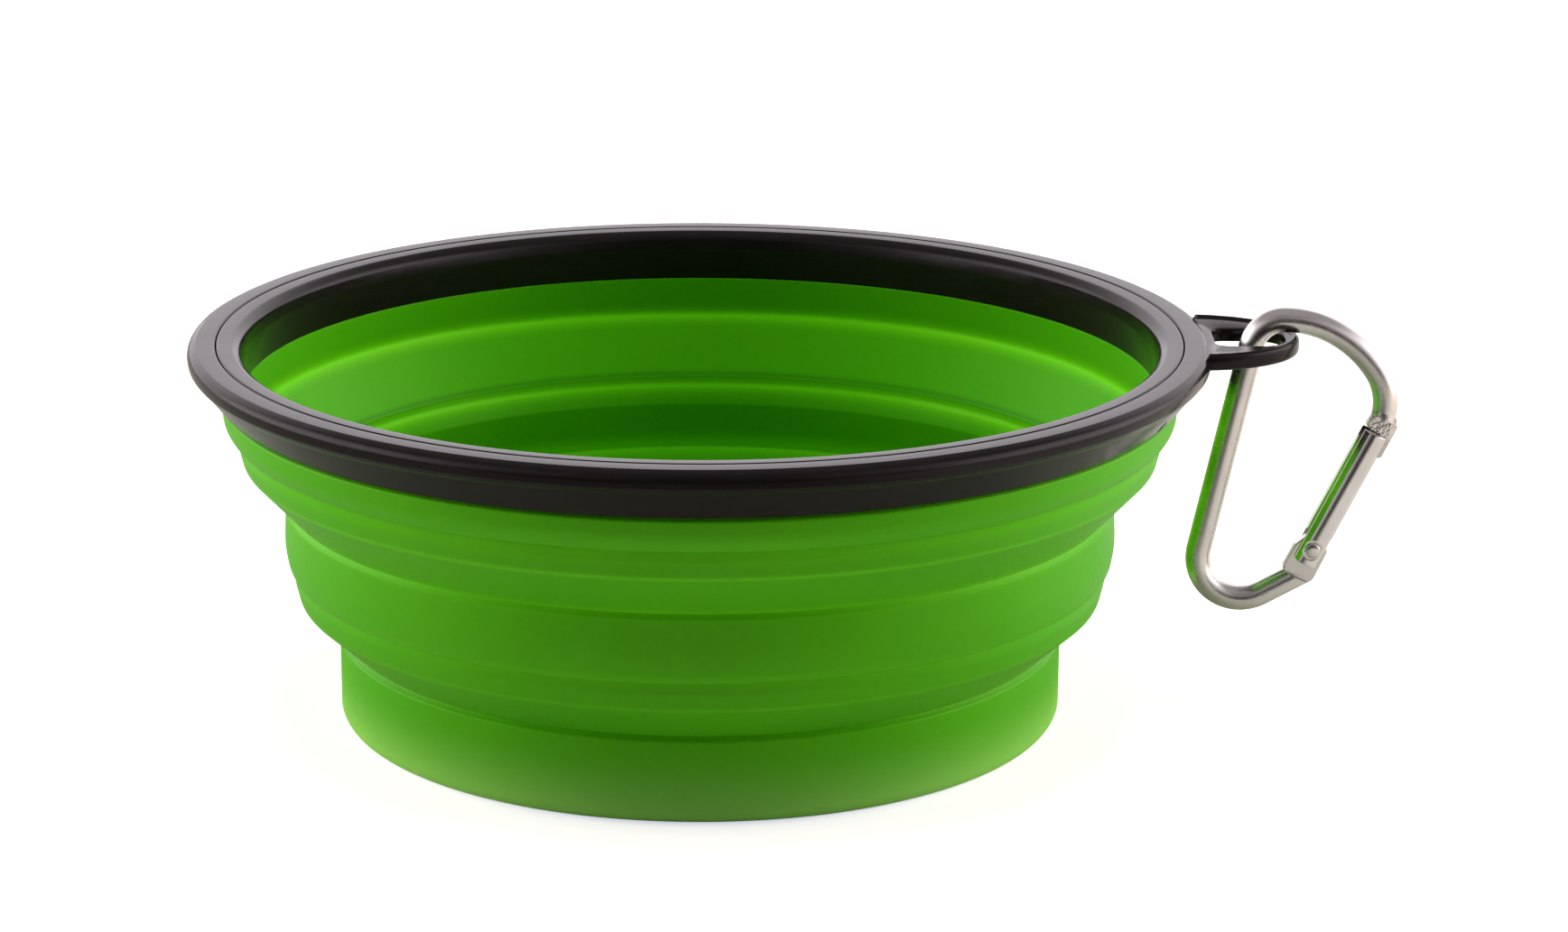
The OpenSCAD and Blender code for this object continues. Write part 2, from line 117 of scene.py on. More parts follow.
# Plastic and metal colours, as linear light, each with the span of its roughness
PLASTIC_DEEP = (0.0068, 0.0060, 0.0062)
PLASTIC_SCUFFED = (0.0100, 0.0088, 0.0092)
PLASTIC_ROUGH = (0.13, 0.22)
CLIP_NICKEL = (0.72, 0.68, 0.65)
CLIP_ROUGH = (0.23, 0.29)
GATE_NICKEL = (0.70, 0.66, 0.645)
GATE_ROUGH = (0.13, 0.19)
RIVET_BRIGHT = (0.66, 0.645, 0.62)
RIVET_ROUGH = (0.12, 0.18)
SPRING_STEEL = (0.60, 0.60, 0.60)
SPRING_ROUGH = (0.22, 0.34)
STAIN_SHARE = 0.88

# Depths of the surface marks, in metres
STREAK_DEPTH = 0.00005
GRAIN_DEPTH = 0.000010
SCUFF_DEPTH = 0.00004
PLASTIC_GRAIN_DEPTH = 0.000006
POLISH_DEPTH = 0.00001
PLATED_PITTING = 0.0000003
STEEL_PITTING = 0.000004
DENT_DEPTH = 0.00035

# Silicone walls, from the base up
BASE_R = 46.5
MIDDLE_R = 53.3
TOP_R = 60.1
WALL_T = 2.1
FLOOR_T = 2.2
FLOOR_ROUND = 3.0
FOOT_ROUND = 1.7
STEP_IN = 1.2
FOOT_IN = 0.6
SEAM_ROUND = 0.5
WALL_OVERLAP = 0.6
LOWER_SEAM_Z = 11.2
LOWER_BEND_Z = 20.2
MIDDLE_FOOT_Z = 20.0
UPPER_SEAM_Z = 28.7
UPPER_BEND_Z = 37.75
TOP_FOOT_Z = 38.4
RIM_FOOT_Z = 42.9
RIM_TOP_Z = 49.5
FLOOR_STRETCH = 2.5
FOLD_STRETCH = 0.5
WALL_STRETCH = 1.0

# Crest inside each seam and the shoulder under it
CREST_IN = 0.945
CREST_RISE = 1.406
CREST_BACK = 0.17
CREST_DROP = 0.87
CREST_ROUND = 0.6
SHOULDER_H = 3.7
SHOULDER_ROUND = 1.0
BASE_SHOULDER_SHARE = 0.62
MIDDLE_SHOULDER_IN = 0.72

# Folds, under the wall above
TUCK_DROP = 1.5
TUCK_ROUND = 2.0
CREASE_DROP = 3.7
CREASE_IN = 0.55
CREASE_ROUND = 1.1
BEND_ROUND = 1.5

# Middle wall, from its top lip past its waist to its foot
MIDDLE_LIP_IN = 0.2
MIDDLE_LIP_ROUND = 0.6
WAIST_RISE = 3.2
WAIST_ROUND = 9
WAIST_FOOT_IN = 0.4
WAIST_FOOT_RISE = 1.0
WAIST_FOOT_ROUND = 2
MIDDLE_EDGE_IN = 0.85
MIDDLE_EDGE_ROUND = 0.3

# Top wall, its collar and its bead
TOP_BULGE = 0.6
BULGE_DROP = 0.6
BULGE_TOP_ROUND = 0.5
BULGE_RISE = 1.6
BULGE_FOOT_ROUND = 3.0
TOP_EDGE_IN = 0.5
TOP_EDGE_ROUND = 0.4
COLLAR_T = 1.05
COLLAR_ROUND = 0.1
BEAD_TOP_Z = 47.75
BEAD_LOW_Z = 46.45
BEAD_ROUND = 0.2
BEAD_GAP = 0.03
SKIRT_GAP = 0.1
LEG_GAP = 0.05

# Rings on the bowl with painted highlights on its creases, and one ring of painted shade, as radius, height
# and width
CREASE_HIGHLIGHTS = (
    (57.75, 37.65, 2.1), (51.9, 28.8, 2.1), (50.9, 20.7, 2.4), (44.8, 12.2, 1.6), (43.5, 3.1, 2.8),
    (58.6, 34.4, 0.9), (51.9, 15.9, 0.9))
SHADED_RING = (52.5, 30.5, 0.9)

# Painted bounce light from the floor on the outside of the foot, up to some height, from an inner radius
# outward
BOUNCE_HEIGHT = 10
BOUNCE_SPAN = (BASE_R - 2.4, BASE_R - 1.6)

# Rim rings
RIM_R = 65.0
BORE_R = 58.0
GROOVE_IN_R = 61.33
GROOVE_OUT_R = 61.41
GROOVE_ROUND = 0.3
LEG_R = 59.0
SEAT_R = 60.15
FLANGE_FOOT_Z = 47.85
BEAD_FOOT_Z = 46.35
RING_ROUND = 0.1
RING_FOOT_ROUND = 0.15
SKIRT_T = 0.95
SKIRT_ROUND = 0.2
SKIRT_HOLE_R = 0.75
SKIRT_HOLE_ANGLE = 24
SKIRT_HOLE_Z = 44.35
SKIRT_HOLE_SIDES = 32
SKIRT_HOLE_IN = 0.5

# Corners of the rings' rounds: distance from the bore or from the rim's edge, drop from the top, rounding
BORE_CORNERS = ((1.25, 0.1, 1.0), (0.25, 0.75, 1.2), (0.0, 2.6, 3.0))
RIM_CORNERS = (
    (1.05, 3.0, 0.25), (0.55, 2.6, 0.25), (0.15, 2.1, 0.3), (0.0, 1.2, 1.4), (0.3, 0.4, 0.9),
    (1.15, 0.0, 0.5))

# Tab and slot
TAB_FOOT_Z = 47.6
TAB_TOP_Z = 49.8
TAB_FACE_Z = 49.42
TAB_HALF = 10.9
TAB_TIP_X = 76.2
TAB_ROOT_X = 62.0
TAB_ROOT_Z = 49.2
TAB_JOIN_X = 63.9
SLOT_IN_X = 65.35
SLOT_OUT_X = 74.3
SLOT_HALF = 4.45
SLOT_ROUND = 1.6
SLOT_FAR_ROUND = 3.4
TAB_POINTS = 160
TAB_BEND_SHARE = 0.75

# Steps of the tab's edge, as inset, and of the slot's lip, as distance out, each with its rise or drop
TAB_BEAD_FOOT = ((1.35, 0.0), (1.05, 0.04))
TAB_BEAD = ((0.92, 0.2), (0.75, 0.05), (0.52, 0.0), (0.28, 0.07), (0.1, 0.25), (0.0, 0.55))
TAB_UNDERSIDE = ((0.0, 0.6), (0.1, 0.28), (0.3, 0.08), (0.55, 0.0))
SLOT_LIP_FOOT = ((0.35, 0.0), (0.12, 0.08), (0.0, 0.35))
SLOT_LIP_FACE = ((0.0, 0.35), (0.1, 0.1), (0.35, 0.0))

# Clip wire, drawn in the clip's plane from the bar
BAR_X = 75.25
BAR_Z = 48.7
WIRE_R = 1.6
SPINE_LEN = 27.6
SPINE_LEAN = 12.2
HOOK_R = 4.25
HEEL_R = 5.6
HEEL_TURN = 131
TOE_LEN = 5.1
CROWN_R = 13.4
CROWN_TURN = 27.6
BROW_R = 15.4
BROW_TURN = 29
CHEEK_R = 7.8
CHEEK_TURN = 42.8
NOSE_LEN = 0.6
HANG_BACK = 0.9265
HOOK_RISE = 3.0
WIRE_SIDES = 40
WIRE_STEP = 0.4

# Flattened ends of the wire: the boss at the hinge and the nose with its tongue
BLADE_HALF = 0.75
PLATE_EASE = 0.16
SHAVE_BACK = 0.1
SHAVE_RISE = 0.1
SHAVE_RUN = 0.12
SHAVE_DEPTH = 1.2
SHAVE_HALF = 4
ROOT_LEN = WIRE_R * 0.6
ROOT_HALF = WIRE_R * 0.9
ROOT_ROUND = 0.3
BOSS_LEN = 4.2
BOSS_HALF = 2.146
BOSS_BACK_LEN = WIRE_R * 0.3
BOSS_BACK_HALF = WIRE_R * 0.6
BOSS_FOOT = BOSS_LEN * 0.86
BOSS_FOOT_ROUND = 0.6
BOSS_NECK = BOSS_LEN * 0.1
BOSS_NECK_HALF = BOSS_HALF * 0.96
BOSS_NECK_ROUND = 0.7
EYE_HALF = 1.35
EYE_ROUND = 0.5
HINGE_REACH = 2.0
HINGE_HALF = 1.2
HINGE_ROUND = 0.2
NOSE_BLADE_LEN = 1.9
NOSE_ROUND = 0.5
NOSE_LIP_BACK = 0.3
TONGUE_LEN = 2.9
TONGUE_T = 1.5
TONGUE_PROUD = 0.35
TONGUE_ROOT_ROUND = 0.2
TONGUE_LOW_ROUND = 0.4
TONGUE_TOP_ROUND = 0.6
HAMMERED_SPAN = (1.5, 2.4)

# Gate, measured along its line from the rivet
GATE_R = 1.85
GATE_EDGE = 0.15
GATE_SIDES = 96
GATE_FOOT = -GATE_R * 2 * 0.58
GATE_BORE_R = 1.35
GATE_BORE_SIDES = 72
GATE_BORE_END = 0.65
GATE_SLOT_HALF = 0.9
GATE_CHEEK_ROUND = 1.6
GATE_CHEEK_GAP = 0.01
GATE_CHEEK_TOP = 1
GATE_CUT_HALF = 4
END_GAP = 0.2
NOTCH_LEN = 1.2
SLOT_GAP = 0.15
NOSE_SLOT_LOW = 0.55

# Rivet across the gate. Its dome has a share of the head's radius, a drop and a rounding at each corner
RIVET_R = 0.6
RIVET_SIDES = 32
RIVET_HOLE_R = 0.65
RIVET_HOLE_SIDES = 40
RIVET_HEAD_R = 1.05
RIVET_HEAD_H = 0.4
RIVET_HEAD_SIDES = 64
RIVET_DOME = ((0.45, 0.03, 0.6), (0.85, 0.16, 0.4))
RIVET_EDGE_H = 0.04
RIVET_EDGE_ROUND = 0.05
RIVET_FACE_R = 1.3
RIVET_FACE_FLARE = 0.3
RIVET_FACE_SIDES = 48
RIVET_CUT_HALF = 3

# Plunger and spring in the gate's bore
PLUNGER_FOOT = 2.12
PLUNGER_LEN = 2.4
PLUNGER_R = 1.21
PLUNGER_NOSE_ROUND = 0.5
PLUNGER_EDGE = 0.1
PLUNGER_SIDES = 48
SPRING_R = 1.035
SPRING_WIRE_R = 0.175
SPRING_TURNS = 7
SPRING_STEPS = 24
SPRING_SIDES = 10


def unit(angle):
    """Direction at an angle in degrees, in the plane of a drawing."""
    return Vector((math.cos(math.radians(angle)), math.sin(math.radians(angle))))


def circle(radius, sides):
    """Points of a round outline."""
    return [unit(360 * k / sides) * radius for k in range(sides)]


def corner_arc(before, here, after, radius):
    """Points of the arc that rounds one corner of an outline."""
    back, on = before - here, after - here
    half = back.angle(on) / 2
    cut = min(radius / math.tan(half), back.length * ROUNDING_SHARE, on.length * ROUNDING_SHARE)
    radius = cut * math.tan(half)
    centre = here + (back.normalized() + on.normalized()).normalized() * (radius / math.sin(half))
    start = here + back.normalized() * cut - centre
    end = here + on.normalized() * cut - centre
    turn = math.copysign(math.pi - 2 * half, start.x * end.y - start.y * end.x)
    steps = max(2, math.ceil(abs(turn) / ARC_STEP))
    return [centre + Matrix.Rotation(turn * k / steps, 2) @ start for k in range(steps + 1)]


def rounded(corners, closed=True):
    """Points of an outline given as (x, y, radius) corners."""
    places = [Vector(c[:2]) for c in corners]
    points = []
    for i, (place, corner) in enumerate(zip(places, corners)):
        end = not closed and i in (0, len(corners) - 1)
        if corner[2] == 0 or end:
            points.append(place)
        else:
            after = places[(i + 1) % len(places)]
            points += corner_arc(places[i - 1], place, after, corner[2])
    return points


def spread(points, gap, closed=True):
    """The same outline with no stretch longer than a gap."""
    out = []
    last = len(points) if closed else len(points) - 1
    for i in range(last):
        a, b = points[i], points[(i + 1) % len(points)]
        pieces = max(1, math.ceil((b - a).length / gap))
        out += [a.lerp(b, k / pieces) for k in range(pieces)]
    return out if closed else out + [points[-1]]


def resampled(points, count):
    """Evenly spread places along an open line."""
    lengths = [(b - a).length for a, b in zip(points, points[1:])]
    whole = sum(lengths)
    places = []
    for k in range(count):
        left = whole * k / (count - 1)
        i = 0
        while i < len(lengths) - 1 and left > lengths[i]:
            left -= lengths[i]
            i += 1
        places.append(points[i].lerp(points[i + 1], min(1, left / lengths[i])))
    return places


def strip(bm, ring, after):
    """Faces between two rings of vertices of the same count, or a fan where one is a single vertex."""
    count = max(len(ring), len(after))
    for j in range(count):
        k = (j + 1) % count
        corners = [ring[j % len(ring)], ring[k % len(ring)], after[k % len(after)], after[j % len(after)]]
        bm.faces.new(list(dict.fromkeys(corners)))


def lathe(outline, segments=SEGMENTS):
    """A closed body of revolution about Z from an outline in radius and height."""
    bm = bmesh.new()
    rings = []
    for r, z in outline:
        count = 1 if r < ON_AXIS else segments
        rings.append([bm.verts.new((r * MM * math.cos(2 * math.pi * j / segments),
                                    r * MM * math.sin(2 * math.pi * j / segments), z * MM))
                      for j in range(count)])
    for ring, after in zip(rings, rings[1:] + rings[:1]):
        if len(ring) > 1 or len(after) > 1:
            strip(bm, ring, after)
    return bm


def capped(bm, rings):
    """A closed solid through rings of vertices, with a face on the first and on the last."""
    for ring, after in zip(rings, rings[1:]):
        strip(bm, ring, after)
    bm.faces.new(rings[0])
    bm.faces.new(rings[-1])
    return bm


def prism(points, low, high):
    """A closed solid from a flat outline, between two heights."""
    bm = bmesh.new()
    rings = [[bm.verts.new((x * MM, y * MM, z * MM)) for x, y in points] for z in (low, high)]
    return capped(bm, rings)


def to_object(name, bm, matrix=None):
    """A mesh object from a bmesh, with its normals outward."""
    if matrix is not None:
        bmesh.ops.transform(bm, matrix=matrix, verts=bm.verts)
    bmesh.ops.recalc_face_normals(bm, faces=bm.faces)
    mesh = bpy.data.meshes.new(name)
    bm.to_mesh(mesh)
    bm.free()
    piece = bpy.data.objects.new(name, mesh)
    bpy.context.collection.objects.link(piece)
    return piece


def cut(piece, tools, operation="DIFFERENCE"):
    """Cuts a mesh with others, joins it to them or keeps what they share, and deletes the others."""
    for tool in tools:
        step = piece.modifiers.new("cut", "BOOLEAN")
        step.operation = operation
        step.solver = "EXACT"
        step.object = tool
        bpy.context.view_layer.update()
        made = bpy.data.meshes.new_from_object(piece.evaluated_get(bpy.context.evaluated_depsgraph_get()))
        piece.modifiers.clear()
        piece.data = made
        bpy.data.objects.remove(tool)
    return piece


def dress(piece, material, body, nodes):
    """Finishes a piece: smooth faces, its material, the body it rides on where one is named, and the nodes
    it stands for hidden. A piece between two bodies is left fixed in place.
    """
    piece.data.materials.clear()
    piece.data.materials.append(material)
    piece.data.shade_smooth()
    piece.data.set_sharp_from_angle(angle=SHARP_ANGLE)
    if isinstance(body, str):
        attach(piece, body)
    else:
        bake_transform(piece)
    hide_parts(*nodes)
    return piece


def node_of(nodes, kind, **settings):
    """A shader node with some of its sockets or properties set."""
    made = nodes.new(kind)
    for key, value in settings.items():
        if key in made.inputs:
            made.inputs[key].default_value = value
        else:
            setattr(made, key, value)
    return made


def settle(shader, settings):
    """Sets sockets of a shader that are the same all over its surface."""
    for key, value in settings.items():
        shader.inputs[key].default_value = value


def new_material(name):
    """An empty node material with its shader, and the piece's own coordinates in metres."""
    material = bpy.data.materials.new(name)
    material.use_nodes = True
    tree = material.node_tree
    shader = next(n for n in tree.nodes if n.type == "BSDF_PRINCIPLED")
    place = tree.nodes.new("ShaderNodeTexCoord").outputs["Object"]
    return material, tree, shader, place


def noise(tree, place, scale, detail=3.0, roughness=0.5, stretch=None):
    """A noise pattern of some scale per metre, stretched along Z where asked."""
    made = node_of(tree.nodes, "ShaderNodeTexNoise", Scale=scale, Detail=detail, Roughness=roughness)
    if stretch is not None:
        mapping = node_of(tree.nodes, "ShaderNodeMapping")
        mapping.inputs["Scale"].default_value = stretch
        tree.links.new(place, mapping.inputs["Vector"])
        place = mapping.outputs["Vector"]
    tree.links.new(place, made.inputs["Vector"])
    return made.outputs["Fac"]


def ranged(tree, value, low, high, out_low=0, out_high=1):
    """A value taken from one range to another."""
    made = node_of(tree.nodes, "ShaderNodeMapRange")
    for socket, number in zip(("From Min", "From Max", "To Min", "To Max"), (low, high, out_low, out_high)):
        made.inputs[socket].default_value = number
    tree.links.new(value, made.inputs["Value"])
    return made.outputs["Result"]


def mixed(tree, share, first, second):
    """A colour between two, by a share. Each is a colour or a socket."""
    made = node_of(tree.nodes, "ShaderNodeMix", data_type="RGBA")
    tree.links.new(share, made.inputs["Factor"])
    for socket, value in ((made.inputs[6], first), (made.inputs[7], second)):
        if isinstance(value, tuple):
            socket.default_value = (*value, 1)
        else:
            tree.links.new(value, socket)
    return made.outputs[2]


def maths(tree, operation, *values):
    """What a sum of one or two values gives. Each is a number or a socket."""
    made = node_of(tree.nodes, "ShaderNodeMath", operation=operation)
    for socket, value in zip(made.inputs, values):
        if isinstance(value, (int, float)):
            socket.default_value = value
        else:
            tree.links.new(value, socket)
    return made.outputs[0]


def product(tree, first, second):
    """Two values multiplied."""
    return maths(tree, "MULTIPLY", first, second)


def total(tree, first, second):
    """Two values added."""
    return maths(tree, "ADD", first, second)


def parts_of(tree, place):
    """The X, Y and Z of a place or direction."""
    split = tree.nodes.new("ShaderNodeSeparateXYZ")
    tree.links.new(place, split.inputs[0])
    return split.outputs["X"], split.outputs["Y"], split.outputs["Z"]


def gap_to(tree, place, spot):
    """Distance of a place from a fixed spot."""
    made = node_of(tree.nodes, "ShaderNodeVectorMath", operation="DISTANCE")
    made.inputs[1].default_value = spot
    tree.links.new(place, made.inputs[0])
    return made.outputs["Value"]


def bumped(tree, shader, height, distance, strength=1.0, below=None):
    """A bump of the surface, laid on another bump where given."""
    made = node_of(tree.nodes, "ShaderNodeBump", Strength=strength, Distance=distance)
    tree.links.new(height, made.inputs["Height"])
    if below is not None:
        tree.links.new(below, made.inputs["Normal"])
    tree.links.new(made.outputs["Normal"], shader.inputs["Normal"])
    return made.outputs["Normal"]


def section_of(tree, place):
    """Radius and height of a place about the bowl's axis."""
    flat = node_of(tree.nodes, "ShaderNodeVectorMath", operation="MULTIPLY")
    flat.inputs[1].default_value = (1, 1, 0)
    tree.links.new(place, flat.inputs[0])
    length = node_of(tree.nodes, "ShaderNodeVectorMath", operation="LENGTH")
    tree.links.new(flat.outputs["Vector"], length.inputs[0])
    return length.outputs["Value"], parts_of(tree, place)[2]


def crease_share(tree, place, radius, height, width):
    """1 on a ring about the bowl's axis, falling softly to 0 at some distance from it."""
    here_r, here_z = section_of(tree, place)
    section = tree.nodes.new("ShaderNodeCombineXYZ")
    tree.links.new(here_r, section.inputs["X"])
    tree.links.new(here_z, section.inputs["Y"])
    gap = gap_to(tree, section.outputs[0], (radius * MM, height * MM, 0))
    share = ranged(tree, gap, 0, width * MM, 1, 0)
    return product(tree, share, share)


def painted_bounce_share(tree, place):
    """Where bounce light from the floor is painted: up to 1 at the outside of the foot, falling softly to 0
    above it.
    """
    radius, height = section_of(tree, place)
    low = ranged(tree, height, 0, BOUNCE_HEIGHT * MM, 1, 0)
    outside = ranged(tree, radius, *[r * MM for r in BOUNCE_SPAN])
    return product(tree, outside, product(tree, low, low))


def silicone_material():
    """Green satin silicone with painted highlights on its creases, painted shade in one crease and painted
    bounce light from the floor at its foot, with a fine grain and dust specks.
    """
    material, tree, shader, place = new_material("silicone_green")
    broad = noise(tree, place, scale=38, detail=2)
    fine = noise(tree, place, scale=1400, detail=4, roughness=0.6)
    specks = noise(tree, place, scale=420, detail=1)
    streaks = noise(tree, place, scale=30, stretch=(1, 1, 30))
    green = mixed(tree, ranged(tree, broad, 0.3, 0.7), SILICONE_DEEP, SILICONE_LIGHT)
    green = mixed(tree, ranged(tree, fine, 0.35, 0.65, 0, GRAIN_SHARE), green, SILICONE_GRAIN)
    # Painted highlights on the rounded creases, where light catches them
    pale = crease_share(tree, place, *CREASE_HIGHLIGHTS[0])
    for crease in CREASE_HIGHLIGHTS[1:]:
        pale = total(tree, pale, crease_share(tree, place, *crease))
    green = mixed(tree, ranged(tree, pale, 0, 1), green, SILICONE_CREASE_HIGHLIGHT)
    # Painted bounce light from the floor, paler toward the bottom of the foot
    green = mixed(tree, painted_bounce_share(tree, place), green, SILICONE_PAINTED_BOUNCE)
    green = mixed(tree, crease_share(tree, place, *SHADED_RING), green, SILICONE_SHADED)
    green = mixed(tree, ranged(tree, specks, 0.80, 0.86, 0, SPECK_SHARE), green, SILICONE_SPECK)
    tree.links.new(green, shader.inputs["Base Color"])
    tree.links.new(ranged(tree, fine, 0.3, 0.7, *SILICONE_ROUGH), shader.inputs["Roughness"])
    settle(shader, {
        "Subsurface Weight": 0.10, "Subsurface Radius": (0.5, 1.0, 0.2), "Subsurface Scale": 0.0012,
        "Specular IOR Level": 0.20, "Specular Tint": (1.0, 0.90, 0.45, 1),
        "Sheen Weight": 0.04, "Sheen Roughness": 0.5, "Sheen Tint": (1.0, 0.85, 0.60, 1)})
    below = bumped(tree, shader, streaks, STREAK_DEPTH, strength=0.4)
    bumped(tree, shader, fine, GRAIN_DEPTH, strength=0.4, below=below)
    return material


def plastic_material():
    """Black satin plastic with a fine grain, mould flow along the ring and light scuffs."""
    material, tree, shader, place = new_material("rim_black")
    grain = noise(tree, place, scale=1500, roughness=0.6)
    scuffs = noise(tree, place, scale=160, detail=5, roughness=0.7, stretch=(1, 1, 6))
    black = mixed(tree, ranged(tree, scuffs, 0.45, 0.75), PLASTIC_DEEP, PLASTIC_SCUFFED)
    tree.links.new(black, shader.inputs["Base Color"])
    tree.links.new(ranged(tree, scuffs, 0.3, 0.8, *PLASTIC_ROUGH), shader.inputs["Roughness"])
    settle(shader, {"Specular IOR Level": 0.17, "Specular Tint": (1.0, 0.93, 0.97, 1)})
    below = bumped(tree, shader, scuffs, SCUFF_DEPTH, strength=0.3)
    bumped(tree, shader, grain, PLASTIC_GRAIN_DEPTH, strength=0.4, below=below)
    return material


def metal_material(name, colour, rough, pitting, hammered=None):
    """Bright metal: polishing marks, faint staining and pitting, and a spot of hammer marks if asked."""
    material, tree, shader, place = new_material(name)
    polish = noise(tree, place, scale=180, detail=1, roughness=0.4)
    stain = noise(tree, place, scale=120)
    pits = noise(tree, place, scale=900, detail=1, roughness=0.4)
    stained = tuple(c * STAIN_SHARE for c in colour)
    tint = mixed(tree, ranged(tree, stain, 0.35, 0.7), colour, stained)
    tree.links.new(tint, shader.inputs["Base Color"])
    tree.links.new(ranged(tree, pits, 0.3, 0.7, *rough), shader.inputs["Roughness"])
    settle(shader, {"Metallic": 1.0})
    below = bumped(tree, shader, polish, POLISH_DEPTH, strength=0.15)
    below = bumped(tree, shader, pits, pitting, strength=0.3, below=below)
    if hammered is not None:
        share = ranged(tree, gap_to(tree, place, hammered), *[r * MM for r in HAMMERED_SPAN], 1, 0)
        dents = noise(tree, place, scale=1500, detail=2, roughness=0.6)
        bumped(tree, shader, product(tree, dents, share), DENT_DEPTH, below=below)
    return material


def base_outline():
    """Floor and base wall, up to the crease where the lower fold starts."""
    inner_r = BASE_R - WALL_T
    shoulder = inner_r + CREST_IN * BASE_SHOULDER_SHARE
    crest_z = LOWER_SEAM_Z + CREST_RISE
    body = rounded([
        (0, 0, 0), (BASE_R, 0, FOOT_ROUND), (BASE_R, LOWER_SEAM_Z - FOOT_IN, SEAM_ROUND),
        (BASE_R - FOOT_IN, LOWER_SEAM_Z, 0), (BASE_R - CREST_IN, crest_z, 0),
        (BASE_R - CREST_IN - CREST_BACK, crest_z - CREST_DROP, CREST_ROUND),
        (shoulder, crest_z - CREST_RISE, CREST_ROUND), (inner_r, crest_z - SHOULDER_H, SHOULDER_ROUND),
        (inner_r, FLOOR_T, FLOOR_ROUND), (0, FLOOR_T, 0)], closed=False)
    return spread(body, FLOOR_STRETCH, closed=False)


def fold_outline(wall_r, top_z, low_r, seam_z, bend_z):
    """One fold: a straight collar under the wall above, a soft crease, then a slant to the wall below."""
    collar_r = wall_r - STEP_IN
    inner_r = wall_r - WALL_T
    return spread(rounded([
        (collar_r, top_z, 0), (collar_r, top_z - TUCK_DROP, TUCK_ROUND),
        (collar_r - CREASE_IN, top_z - CREASE_DROP, CREASE_ROUND),
        (low_r - FOOT_IN, seam_z, 0), (low_r - CREST_IN, seam_z + CREST_RISE, 0),
        (inner_r, bend_z, BEND_ROUND), (inner_r, top_z + WALL_OVERLAP, 0)]), FOLD_STRETCH)


def middle_wall_outline():
    """Middle wall, slightly full at its waist, between the two folds."""
    inner_r = MIDDLE_R - WALL_T
    crest_z = UPPER_SEAM_Z + CREST_RISE
    return spread(rounded([
        (MIDDLE_R - FOOT_IN, UPPER_SEAM_Z, 0),
        (MIDDLE_R - MIDDLE_LIP_IN, UPPER_SEAM_Z - FOOT_IN, MIDDLE_LIP_ROUND),
        (MIDDLE_R, MIDDLE_FOOT_Z + WAIST_RISE, WAIST_ROUND),
        (MIDDLE_R - WAIST_FOOT_IN, MIDDLE_FOOT_Z + WAIST_FOOT_RISE, WAIST_FOOT_ROUND),
        (MIDDLE_R - MIDDLE_EDGE_IN, MIDDLE_FOOT_Z, MIDDLE_EDGE_ROUND),
        (MIDDLE_R - STEP_IN, MIDDLE_FOOT_Z, 0), (inner_r, MIDDLE_FOOT_Z + WALL_OVERLAP, 0),
        (inner_r, crest_z - SHOULDER_H, SHOULDER_ROUND),
        (inner_r + MIDDLE_SHOULDER_IN, UPPER_SEAM_Z, CREST_ROUND),
        (MIDDLE_R - CREST_IN - CREST_BACK, crest_z - CREST_DROP, CREST_ROUND),
        (MIDDLE_R - CREST_IN, crest_z, 0)]), WALL_STRETCH)


def top_wall_outline():
    """Top wall with the thin collar and the bead that the rings clamp."""
    clamp_r = TOP_R - COLLAR_T
    bead_r = GROOVE_IN_R - BEAD_GAP
    bulge_r = TOP_R + TOP_BULGE
    return spread(rounded([
        (bead_r, BEAD_TOP_Z, BEAD_ROUND), (bead_r, BEAD_LOW_Z, BEAD_ROUND),
        (TOP_R, BEAD_LOW_Z, BEAD_ROUND), (TOP_R, RIM_FOOT_Z - SKIRT_GAP, BEAD_ROUND),
        (bulge_r, RIM_FOOT_Z - BULGE_DROP, BULGE_TOP_ROUND),
        (bulge_r, TOP_FOOT_Z + BULGE_RISE, BULGE_FOOT_ROUND),
        (TOP_R - TOP_EDGE_IN, TOP_FOOT_Z, TOP_EDGE_ROUND), (TOP_R - STEP_IN, TOP_FOOT_Z, 0),
        (BORE_R, TOP_FOOT_Z + WALL_OVERLAP, 0), (BORE_R, RIM_FOOT_Z - LEG_GAP, COLLAR_ROUND),
        (clamp_r, RIM_FOOT_Z - LEG_GAP, 0), (clamp_r, BEAD_TOP_Z, COLLAR_ROUND)]), WALL_STRETCH)


def inner_ring_outline():
    """Inner ring: a leg against the wall and a flange over the bead, with a full round to the bore."""
    return rounded([
        (BORE_R, RIM_FOOT_Z, RING_FOOT_ROUND), (LEG_R, RIM_FOOT_Z, RING_ROUND),
        (LEG_R, FLANGE_FOOT_Z, RING_ROUND), (GROOVE_IN_R, FLANGE_FOOT_Z, RING_ROUND),
        (GROOVE_IN_R, RIM_TOP_Z, GROOVE_ROUND),
        *[(BORE_R + out, RIM_TOP_Z - drop, ease) for out, drop, ease in BORE_CORNERS]])


def outer_ring_outline():
    """Outer ring: flat top, round outside, a small lip and a skirt that slopes in to the wall."""
    return rounded([
        (SEAT_R, RIM_FOOT_Z, RING_FOOT_ROUND), (SEAT_R + SKIRT_T, RIM_FOOT_Z, SKIRT_ROUND),
        *[(RIM_R - back, RIM_TOP_Z - drop, ease) for back, drop, ease in RIM_CORNERS],
        (GROOVE_OUT_R, RIM_TOP_Z, GROOVE_ROUND), (GROOVE_OUT_R, BEAD_FOOT_Z, RING_ROUND),
        (SEAT_R, BEAD_FOOT_Z, RING_ROUND)])


